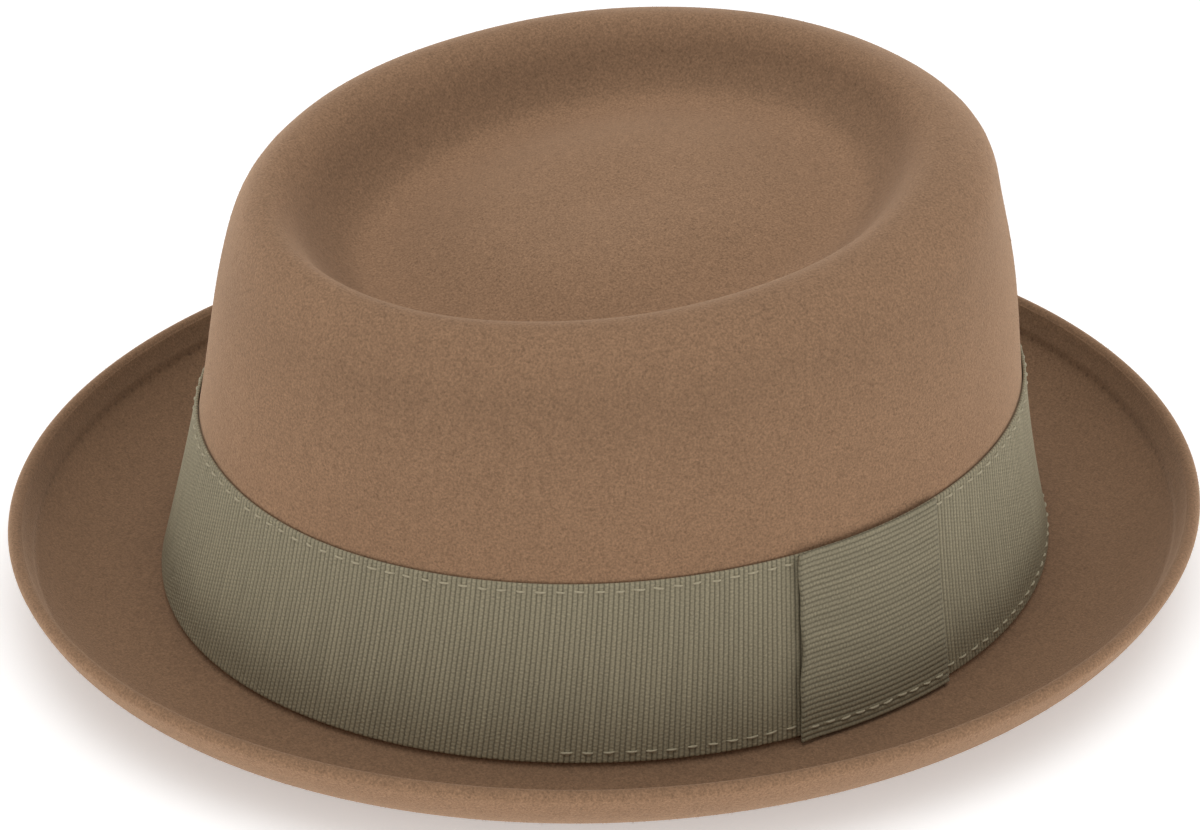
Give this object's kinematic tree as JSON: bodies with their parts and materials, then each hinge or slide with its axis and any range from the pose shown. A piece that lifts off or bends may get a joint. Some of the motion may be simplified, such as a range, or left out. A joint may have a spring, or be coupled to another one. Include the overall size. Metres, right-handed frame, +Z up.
{
  "type": "pork pie hat",
  "caption": "Pork pie hat of felt: oval crown with a dented tip, short brim turned up all round, wide grosgrain ribbon with a flat tab over its join.",
  "frame": {"origin": "on the surface that the hat rests on, below the middle of the hat", "axes": "+Z up; the front of the hat faces -Y and the wearer's left, with the tab, is +X"},
  "size_m": [0.2476, 0.2728, 0.1038],
  "materials": {
    "felt": "tan wool felt with a fine short nap",
    "ribbon": "khaki grosgrain ribbon, fine ribs"
  },
  "bodies": {
    "root": {"felt_body": "felt", "ribbon_band": "ribbon", "band_tab": "ribbon"}
  },
  "joints": []
}
